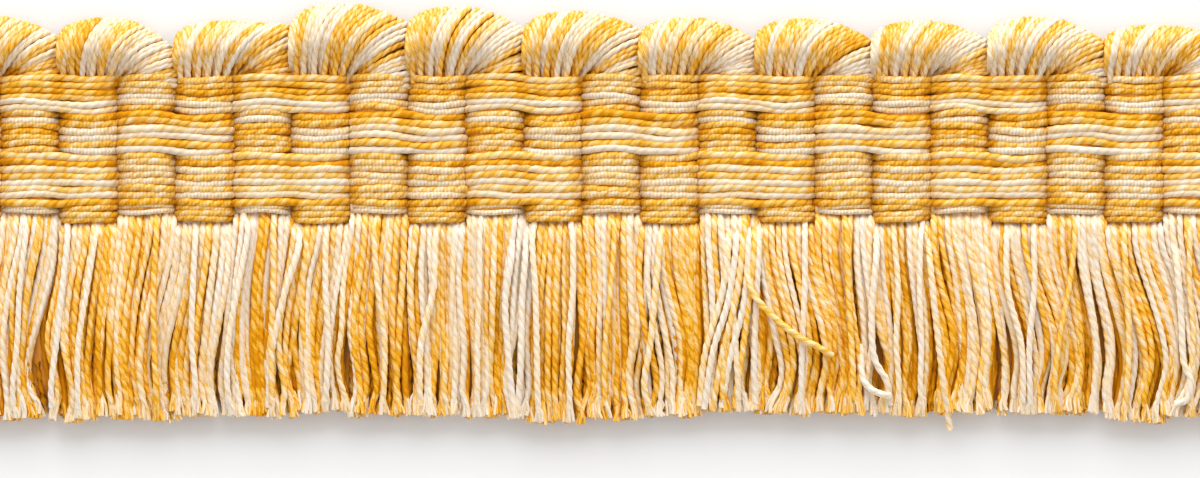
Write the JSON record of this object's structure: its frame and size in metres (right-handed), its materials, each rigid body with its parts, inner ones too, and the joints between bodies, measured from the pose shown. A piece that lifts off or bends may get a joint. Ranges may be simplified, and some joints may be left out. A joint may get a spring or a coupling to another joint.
{
  "type": "brush fringe trim",
  "caption": "Cut length of woven brush fringe trim: a ribbed yarn heading with leaning scallop loops along one edge and a thick cut-yarn skirt along the other.",
  "frame": {"origin": "middle of the footprint, on the surface that the trim lies on", "axes": "+X along the trim, +Y towards the scallop loops, -Y towards the cut tips of the skirt, +Z away from the surface it lies on"},
  "size_m": [0.1716, 0.0516, 0.0058],
  "materials": {
    "heading_yarn": "soft sheen, gold and ivory two-ply yarn woven in ribs and floats",
    "loop_yarn": "soft sheen, gold and ivory two-ply yarn in fanned strands",
    "skirt_yarn": "soft sheen, gold and ivory two-ply yarn with frayed cut ends"
  },
  "bodies": {
    "root": {"heading": "heading_yarn", "loop_01": "loop_yarn", "loop_02": "loop_yarn", "loop_03": "loop_yarn", "loop_04": "loop_yarn", "loop_05": "loop_yarn", "loop_06": "loop_yarn", "loop_07": "loop_yarn", "loop_08": "loop_yarn", "loop_09": "loop_yarn", "loop_10": "loop_yarn", "loop_11": "loop_yarn", "loop_12": "loop_yarn", "skirt": "skirt_yarn"}
  },
  "joints": []
}
